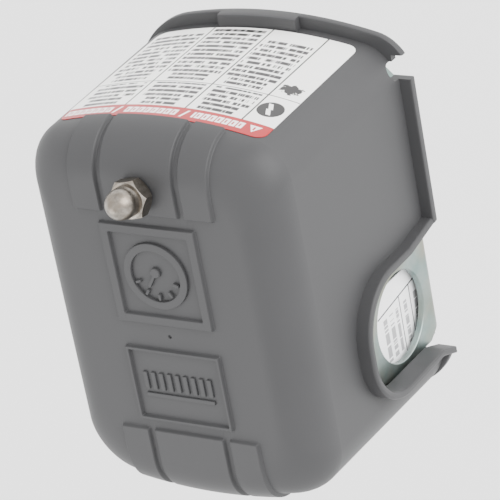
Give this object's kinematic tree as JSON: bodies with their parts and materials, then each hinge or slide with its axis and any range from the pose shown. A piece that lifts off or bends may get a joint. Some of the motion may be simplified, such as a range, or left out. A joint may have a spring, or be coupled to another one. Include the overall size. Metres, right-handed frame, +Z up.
{
  "type": "diaphragm pressure switch",
  "caption": "Diaphragm pressure switch for a water pump: lift-off moulded cover with conduit notches over a plated frame with lever, adjusting springs, snap contacts and a female pressure port.",
  "frame": {"origin": "centre of the pressure port at its bottom face", "axes": "+Z up along the port's axis towards the cap nut, -Y towards the cover's warning label, X across between the two conduit ends"},
  "size_m": [0.075, 0.0995, 0.0966],
  "materials": {
    "cover_plastic": "satin moulded grey",
    "label_paper": "printed, satin",
    "stainless": "turned",
    "zinc_plate": "zinc plated",
    "green_screw": "green plated",
    "spring_steel": "bright",
    "black_phenolic": "moulded",
    "brass": "stamped",
    "rubber": "matt"
  },
  "bodies": {
    "frame": {"base_frame": "zinc_plate", "pressure_flange": "zinc_plate", "port_fitting": "zinc_plate", "diaphragm": "rubber", "flange_screw_1": "zinc_plate", "flange_screw_2": "zinc_plate", "flange_screw_3": "zinc_plate", "flange_screw_4": "zinc_plate", "ground_screw_left": "green_screw", "ground_screw_right": "green_screw", "block_screw_left": "zinc_plate", "block_screw_right": "zinc_plate", "instruction_card": "label_paper", "lever_pin": "spring_steel", "carrier_pin": "spring_steel", "contact_block": "black_phenolic", "terminal_1": "brass", "terminal_2": "brass", "terminal_3": "brass", "terminal_4": "brass", "terminal_screw_1": "zinc_plate", "terminal_screw_2": "zinc_plate", "terminal_screw_3": "zinc_plate", "terminal_screw_4": "zinc_plate", "range_stud": "zinc_plate", "differential_stud": "zinc_plate", "cover_stop_nut": "zinc_plate", "range_spring": "spring_steel", "differential_spring": "spring_steel"},
    "lever": {"lever_plate": "zinc_plate", "range_lower_seat": "zinc_plate", "differential_lower_seat": "zinc_plate"},
    "plunger": {"plunger": "spring_steel"},
    "snap_carrier": {"contact_carrier": "black_phenolic", "contact_blade_left": "brass", "contact_blade_right": "brass", "toggle_spring_left": "spring_steel", "toggle_spring_right": "spring_steel"},
    "range_adjuster": {"range_upper_seat": "zinc_plate"},
    "range_nut": {"range_nut": "zinc_plate"},
    "differential_adjuster": {"differential_upper_seat": "zinc_plate"},
    "differential_nut": {"differential_nut": "zinc_plate"},
    "cover": {"cover": "cover_plastic", "warning_label": "label_paper"},
    "cap_nut": {"cap_nut": "stainless"}
  },
  "joints": [
    {"name": "cover_lift", "type": "slide", "parent": "frame", "child": "cover", "axis": [0, 0, 1], "range_m": [0, 0.08]},
    {"name": "cap_nut_turn", "type": "hinge", "parent": "cover", "child": "cap_nut", "pos_m": [0, -0.033, 0.08715], "axis": [0, -0.1392, 0.9903], "continuous": true},
    {"name": "lever_tilt", "type": "hinge", "parent": "frame", "child": "lever", "pos_m": [0, 0.013, 0.0314], "axis": [-1, 0, 0], "range_deg": [0, 1.5]},
    {"name": "plunger_push", "type": "slide", "parent": "frame", "child": "plunger", "axis": [0, 0, 1], "range_m": [0, 0.00035]},
    {"name": "contact_snap", "type": "hinge", "parent": "frame", "child": "snap_carrier", "pos_m": [0, 0.0146, 0.0396], "axis": [1, 0, 0], "range_deg": [0, 8.2]},
    {"name": "range_travel", "type": "slide", "parent": "frame", "child": "range_adjuster", "axis": [0, 0, -1], "range_m": [0, 0.00762], "deforming": ["range_spring"]},
    {"name": "range_nut_turn", "type": "hinge", "parent": "range_adjuster", "child": "range_nut", "pos_m": [0, -0.033, 0.0672], "axis": [0, 0, -1], "range_deg": [0, 2160.5]},
    {"name": "differential_travel", "type": "slide", "parent": "frame", "child": "differential_adjuster", "axis": [0, 0, -1], "range_m": [0, 0.00476], "deforming": ["differential_spring"]},
    {"name": "differential_nut_turn", "type": "hinge", "parent": "differential_adjuster", "child": "differential_nut", "pos_m": [0, -0.0168, 0.0552], "axis": [0, 0, -1], "range_deg": [0, 2160.5]}
  ],
  "couplings": [
    {"joint": "plunger_push", "follows": "lever_tilt", "m_per_rad": 0.013},
    {"joint": "contact_snap", "follows": "lever_tilt", "ratio": 5.4},
    {"joint": "range_nut_turn", "follows": "range_travel", "rad_per_m": 4947.4},
    {"joint": "differential_nut_turn", "follows": "differential_travel", "rad_per_m": 7915.8}
  ]
}
